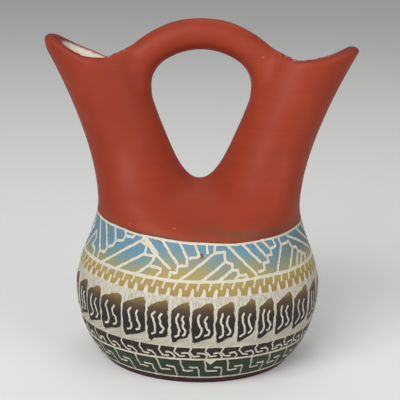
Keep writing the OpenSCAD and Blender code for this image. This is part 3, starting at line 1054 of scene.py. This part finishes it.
class Nodes:
    """a tree with short names for the nodes that every finish needs"""

    def __init__(self, tree):
        self.tree = tree

    def add(self, kind, inputs, **settings):
        node = self.tree.nodes.new("ShaderNode" + kind)
        for name, value in settings.items():
            setattr(node, name, value)
        for name, value in inputs.items():
            if isinstance(value, bpy.types.NodeSocket):
                self.tree.links.new(value, node.inputs[name])
            else:
                node.inputs[name].default_value = value
        return node

    def calc(self, operation, first, second):
        return self.add("Math", {0: first, 1: second}, operation=operation).outputs[0]

    def times(self, first, second):
        return self.calc("MULTIPLY", first, second)

    def plus(self, first, second):
        return self.calc("ADD", first, second)

    def mix(self, share, first, second):
        """the first value where the mask is 0, the second where it is 1"""
        return self.add("Mix", {0: share, 2: first, 3: second}).outputs[0]

    def blend(self, share, first, second):
        """the first colour where the mask is 0, the second where it is 1"""
        return self.add("Mix", {0: share, 6: first, 7: second}, data_type="RGBA").outputs[2]

    def tint(self, colour, mask, strength, *rgb):
        """the colour, with a paint over it as strong as the mask"""
        return self.blend(self.times(mask, strength), colour, paint(*rgb))

    def noise(self, place, scale, **inputs):
        return self.add("TexNoise", {"Vector": place, "Scale": scale, **inputs}).outputs["Fac"]

    def split(self, vector):
        return self.add("SeparateXYZ", {"Vector": vector}).outputs

    def step(self, value, low, high, soft=True):
        """0 at the first limit, 1 at the second, also where the second is the lower one"""
        kind = "SMOOTHSTEP" if soft else "LINEAR"
        inputs = {"Value": value, "From Min": low, "From Max": high}
        return self.add("MapRange", inputs, interpolation_type=kind).outputs["Result"]

    def use(self, group, **values):
        """a group's mask at the place on the piece"""
        return self.add("Group", {"Place": self.place, **values}, node_tree=group).outputs[0]


# %% Helpers for a node group
def new_group(name, output, **inputs):
    """a node group that takes a place and some numbers and puts out one number"""
    group = bpy.data.node_groups.new(name, "ShaderNodeTree")
    group.interface.new_socket("Place", in_out="INPUT", socket_type="NodeSocketVector")
    for label, value in inputs.items():
        group.interface.new_socket(label, in_out="INPUT", socket_type="NodeSocketFloat").default_value = value
    group.interface.new_socket(output, in_out="OUTPUT", socket_type="NodeSocketFloat")
    return group, Nodes(group), group.nodes.new("NodeGroupInput").outputs


def close_group(group, result):
    group.links.new(result, group.nodes.new("NodeGroupOutput").inputs[0])
    print("group", group.name, [item.name for item in group.interface.items_tree])


# %% Soft patches
patches, nodes, given = new_group("soft_patches", "Mask", Scale=30.0, Low=0.35, High=0.65)
cloud = nodes.noise(given["Place"], given["Scale"], Detail=3.0, Roughness=0.55)
close_group(patches, nodes.step(cloud, given["Low"], given["High"]))

# %% Fine grain of fired clay
grain, nodes, given = new_group("fired_grain", "Height", Scale=1200.0)
sand = nodes.noise(given["Place"], given["Scale"], Detail=4.0)
pits = nodes.add("TexVoronoi", {"Vector": given["Place"], "Scale": given["Scale"]}).outputs["Distance"]
close_group(grain, nodes.plus(nodes.times(sand, 0.6), nodes.times(nodes.calc("MINIMUM", pits, 0.35), 0.9)))

# %% Lines left by a tool
lines, nodes, given = new_group(
    "tool_lines", "Mask", Twist=0.0, Around=900.0, Upward=60.0, Low=0.45, High=0.6)
twist = nodes.times(nodes.split(given["Place"])["Z"], given["Twist"])
turned = nodes.add("VectorRotate", {"Vector": given["Place"], "Angle": twist}, rotation_type="Z_AXIS")
axes = nodes.split(turned.outputs["Vector"])
scales = {"X": given["Around"], "Y": given["Around"], "Z": given["Upward"]}
drawn = nodes.add("CombineXYZ", {axis: nodes.times(axes[axis], scale) for axis, scale in scales.items()})
ridges = nodes.noise(drawn.outputs["Vector"], 1.0, Detail=2.0)
close_group(lines, nodes.step(ridges, given["Low"], given["High"]))

# %% Specks
specks, nodes, given = new_group("specks", "Mask", Scale=120.0, Size=0.06, Rare=0.8)
dots = nodes.add("TexVoronoi", {"Vector": given["Place"], "Scale": given["Scale"]}).outputs
chosen = nodes.calc("GREATER_THAN", nodes.split(dots["Color"])["X"], given["Rare"])
close_group(specks, nodes.times(nodes.step(dots["Distance"], given["Size"], 0.0), chosen))


# %% Helpers for a finish
class Finish(Nodes):
    """a new material with its shader and the place on the piece"""

    def __init__(self, name, shine):
        self.material = bpy.data.materials.new(name)
        self.material.use_nodes = True
        super().__init__(self.material.node_tree)
        self.shader = self.tree.nodes["Principled BSDF"].inputs
        self.shader["Specular IOR Level"].default_value = shine
        self.place = self.add("TexCoord", {}).outputs["Object"]

    def give(self, name, value):
        """a constant stays on the shader's own socket"""
        if isinstance(value, bpy.types.NodeSocket):
            self.tree.links.new(value, self.shader[name])
        else:
            self.shader[name].default_value = value

    def close(self, colour, rough, height, strength, deep, invert=False):
        self.give("Base Color", colour)
        self.give("Roughness", rough)
        bump = self.add("Bump", {"Strength": strength, "Distance": deep, "Height": height}, invert=invert)
        self.give("Normal", bump.outputs["Normal"])
        print(self.material.name, "has", len(self.tree.nodes), "nodes")
        return self.material

    def ramp(self, value, stops):
        """a colour ramp with stops at places from 0 to 1"""
        node = self.add("ValToRGB", {"Fac": value})
        spots = node.color_ramp.elements
        while len(spots) < len(stops):
            spots.new(1.0)
        for spot, (place, colour) in zip(spots, stops):
            spot.position = place
            spot.color = colour
        return node.outputs["Color"]


# %% [markdown]
# ## Red slip outside, cream glaze inside
#
# Above the belt the vase is terracotta red, satin and a little patchy, with faint level lines from
# the burnishing stone and a few pale specks. The lips carry a painted shade that is darkest at the
# rim. Brown overspray from the belt drifts over its upper line. In the mouths a glossy cream glaze
# starts just under the lip. The body is one mesh, so one material holds both finishes. Masks that
# can't be told from a place alone are kept as attributes of the corners, which flow over the faces
# without a step, unlike a second material slot.


# %% Keep glaze, lip and overspray as attributes
def height_under_rim(point):
    side = 1 if point.x > 0 else -1
    return rim_at(side, abs(point.x), point.y) - point.z


GLAZE_LOW, GLAZE_INSET = 95, 3.4
UNDER_FORK_W, UNDER_FORK_H = 20, 125  # the roof of the hollow below the window has no glaze


def glaze_share(point):
    under_fork = abs(point.x) < UNDER_FORK_W and point.z < UNDER_FORK_H
    if point.z < GLAZE_LOW or under_fork or not in_mouth(point, GLAZE_INSET):
        return 0.0
    return ease((height_under_rim(point) - 0.5) / 1.5)


# painted shade: the lips of the mouths darken towards the rim
def rim_shade_share(point):
    if point.z < 150 or abs(point.x) < 46:
        return 0.0
    return max(0.0, 1.0 - abs(height_under_rim(point) - 0.4) / 2.4)


def overspray_share(point):
    """a soft band of spray above line A on the right, and a thin dark edge on it on the left"""
    angle = angle_of(point)
    above = point.z - along(LINE_A, angle) - LINE_W / 2
    if above < -0.5 or above > 12:
        return 0.0
    right = between(angle, -12, 105, 25, 20)
    left = between(angle, -75, 2, 20, 20)
    drift = math.exp(-((above - mix(5.0, 1.2, ease(angle / 75))) / 2.6) ** 2)
    return max(0.85 * right * drift, left * (1 - ease(above / 2.6)), 0.5 * (1 - ease(above / 1.8)))


masks = {"glaze": glaze_share, "lip": rim_shade_share, "overspray": overspray_share}
for name, share in masks.items():
    values = [share(corner.co / MM) for corner in vase.data.vertices]
    vase.data.attributes.new(name, "FLOAT", "POINT").data.foreach_set("value", values)
    print(name, "covers", sum(value > 0.5 for value in values), "of", len(values), "corners")

# %% Red slip and cream glaze
red = Finish("red_slip_and_glaze", 0.22)
mask = {name: red.add("Attribute", {}, attribute_name=name).outputs["Fac"] for name in masks}
thick = red.use(patches, Scale=26.0, Low=0.3, High=0.7)
stone = red.use(lines, Around=10.0, Upward=420.0, Low=0.4, High=0.75)
dust = red.use(specks, Scale=80.0, Size=0.085, Rare=0.74)
drift = red.plus(red.times(red.use(patches, Scale=420.0, Low=0.25, High=0.7), 0.5), 0.5)
colour = red.blend(thick, paint(158, 60, 34), paint(147, 53, 32))
colour = red.tint(colour, stone, 0.35, 140, 52, 34)
# painted shade on the lips, darkest at the rim
colour = red.tint(colour, mask["lip"], 0.75, 120, 38, 30)
colour = red.tint(colour, red.times(drift, mask["overspray"]), 0.95, 104, 70, 48)
colour = red.tint(colour, dust, 0.8, 214, 124, 94)
cream = red.blend(thick, paint(236, 230, 214), paint(228, 218, 198))
satin = red.plus(red.times(thick, 0.07), 0.5)
height = red.plus(red.use(grain, Scale=1300.0), red.times(stone, 0.5))
height = red.times(height, red.calc("SUBTRACT", 1.0, mask["glaze"]))
vase.data.materials.clear()
vase.data.materials.append(red.close(
    red.blend(mask["glaze"], colour, cream), red.mix(mask["glaze"], satin, 0.14), height, 0.25, 0.00012))

# %% [markdown]
# ## Airbrushed slip and bare clay
#
# Before the needle, the belt was sprayed in soft level bands: dark red at the foot, green, brown,
# black, ochre and blue at the top, each fading into the next. A colour ramp up the height does the
# same, and patches shift it a little so that no border is a ruled line. Where the needle took the
# slip away the clay is pale, dull and full of fine upright strokes, some of them slanted.

# %% Airbrushed slip
RAMP_TOP = 90  # height in millimetres at the ramp's end
SLIP_BANDS = [(0, (60, 18, 18)), (3.6, (66, 20, 19)), (5.4, (34, 50, 33)), (15.5, (42, 62, 42)),
              (19.5, (46, 33, 30)), (27, (42, 31, 29)), (31, (31, 29, 29)), (43, (36, 33, 32)),
              (49, (88, 70, 50)), (56, (156, 133, 76)), (64, (172, 152, 86)), (72, (132, 148, 134)),
              (78, (104, 144, 160)), (88, (98, 140, 160))]
CHIP_AT = on_belly(1.5 * DEGREE, 77.4)
slip = Finish("airbrushed_slip", 0.22)
where = slip.split(slip.place)
uneven = slip.use(patches, Scale=55.0, Low=0.25, High=0.75)
fog = slip.use(patches, Scale=700.0, Low=0.2, High=0.8)
broad = slip.calc("SUBTRACT", slip.use(patches, Scale=32.0, Low=0.3, High=0.7), 0.5)
high_up = slip.step(where["Z"], 0.05, 0.065, soft=False)
shift = slip.plus(slip.times(uneven, 0.002), slip.times(fog, 0.0006))
shift = slip.plus(shift, slip.times(broad, slip.times(high_up, 0.007)))
up = slip.plus(where["Z"], slip.calc("SUBTRACT", shift, 0.0013))
up = slip.calc("DIVIDE", up, RAMP_TOP * MM)
colour = slip.ramp(up, [(z / RAMP_TOP, paint(*rgb)) for z, rgb in SLIP_BANDS])
to_right = slip.step(where["X"], 0.04, 0.07, soft=False)
above = slip.step(where["Z"], 0.068, 0.075, soft=False)
colour = slip.tint(colour, slip.times(to_right, above), 0.7, 96, 96, 104)
chip = slip.add("VectorMath", {0: slip.place, 1: CHIP_AT}, operation="DISTANCE")
chip = slip.step(chip.outputs["Value"], 0.0017, 0.0011, soft=False)
colour = slip.tint(colour, chip, 1.0, 124, 52, 38)
colour = slip.tint(colour, slip.use(specks, Scale=420.0, Size=0.25, Rare=0.86), 0.35, 190, 178, 155)
colour = slip.tint(colour, fog, 0.05, 150, 140, 125)
rough = slip.plus(slip.times(fog, 0.12), 0.5)
belt.data.materials[SLIP] = slip.close(colour, rough, slip.use(grain, Scale=1100.0), 0.4, 0.00015)

# %% Bare clay in the scratched lines
clay = Finish("bare_clay", 0.2)
upright = clay.use(lines, Around=1500.0, Upward=220.0, Low=0.5, High=0.66)
stain = clay.use(patches, Scale=240.0, Low=0.45, High=0.8)
colour = clay.tint(paint(220, 213, 198), upright, 0.3, 182, 170, 150)
colour = clay.tint(colour, stain, 0.25, 184, 168, 146)
height = clay.plus(upright, clay.use(grain, Scale=1400.0))
belt.data.materials[BARE] = clay.close(colour, 0.9, height, 0.5, 0.00015, invert=True)

# %% [markdown]
# The ground between the panels is scraped with many strokes side by side, and thin traces of dark
# slip stay between them. They run upright between the panels and aslant below them, so two sets
# of tool lines are mixed by height. It is the bare clay's finish with more left behind.

# %% Scraped ground
ground = Finish("scraped_ground", 0.2)
upright = ground.use(lines, Twist=1.5, Around=1700.0, Upward=90.0, Low=0.42, High=0.64)
slanted = ground.use(lines, Twist=-42.0, Around=1000.0, Upward=40.0, Low=0.44, High=0.62)
below = ground.step(ground.split(ground.place)["Z"], 0.036, 0.032, soft=False)
traces = ground.mix(below, upright, slanted)
stain = ground.use(patches, Scale=130.0, Low=0.35, High=0.75)
residue = ground.blend(stain, paint(124, 114, 98), paint(160, 149, 130))
colour = ground.blend(ground.times(traces, 0.5), paint(214, 207, 190), residue)
height = ground.plus(traces, ground.use(grain, Scale=1400.0))
belt.data.materials[GROUND] = ground.close(colour, 0.9, height, 0.7, 0.0002, invert=True)

# %% Hand both pieces to the frame
for piece in (vase, belt):
    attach(piece, "root")
    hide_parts("vase")
print("pieces:", vase.name, belt.name)


# %% [markdown]
# ## Floor and light
#
# The vase stands on a plain pale floor under soft studio light. The photograph has a broad soft
# light above on the left and a weaker one on the right, which leave the long soft highlights on
# the spouts and the handle. The lamps are kept at a level at which a colour renders as written.


# %% Lay the floor
bpy.ops.mesh.primitive_plane_add(size=16.0)
floor = bpy.context.object
floor.name = "floor"
finish = bpy.data.materials.new("floor_paint")
finish.use_nodes = True
floor.data.materials.append(finish)
nodes = Nodes(finish.node_tree)
shader = nodes.tree.nodes["Principled BSDF"].inputs
shader["Roughness"].default_value = 0.75
shader["Emission Color"].default_value = (1, 1, 1, 1)
ray = nodes.add("LightPath", {}).outputs
seen = nodes.calc("MAXIMUM", ray["Is Camera Ray"], ray["Is Glossy Ray"])
nodes.tree.links.new(nodes.blend(seen, (0.5, 0.5, 0.5, 1), (0.84, 0.84, 0.83, 1)), shader["Base Color"])
nodes.tree.links.new(nodes.times(seen, 0.09), shader["Emission Strength"])
print("floor:", floor.dimensions.x, "m wide")


# %% Hang the lamps
LAMPS_LOOK_AT = Vector((0, 0, 0.1))


def soft_box(name, place, size, power):
    data = bpy.data.lights.new(name, "AREA")
    data.shape = "RECTANGLE"
    data.size, data.size_y = size
    data.energy = power
    lamp = bpy.data.objects.new(name, data)
    bpy.context.scene.collection.objects.link(lamp)
    lamp.location = place
    lamp.rotation_euler = (LAMPS_LOOK_AT - Vector(place)).to_track_quat("-Z", "Y").to_euler()


soft_box("key", (-0.7, -1.25, 1.05), (1.2, 1.2), 24)
soft_box("fill", (1.2, -1.1, 0.7), (1.2, 1.2), 9)
soft_box("top", (0.1, 0.7, 1.5), (1.0, 0.6), 3)
world = bpy.data.worlds.new("room")
bpy.context.scene.world = world
world.use_nodes = True
sky = world.node_tree.nodes["Background"].inputs
sky["Color"].default_value = (1, 1, 1, 1)
sky["Strength"].default_value = 0.24
bpy.context.scene.view_settings.view_transform = "Standard"
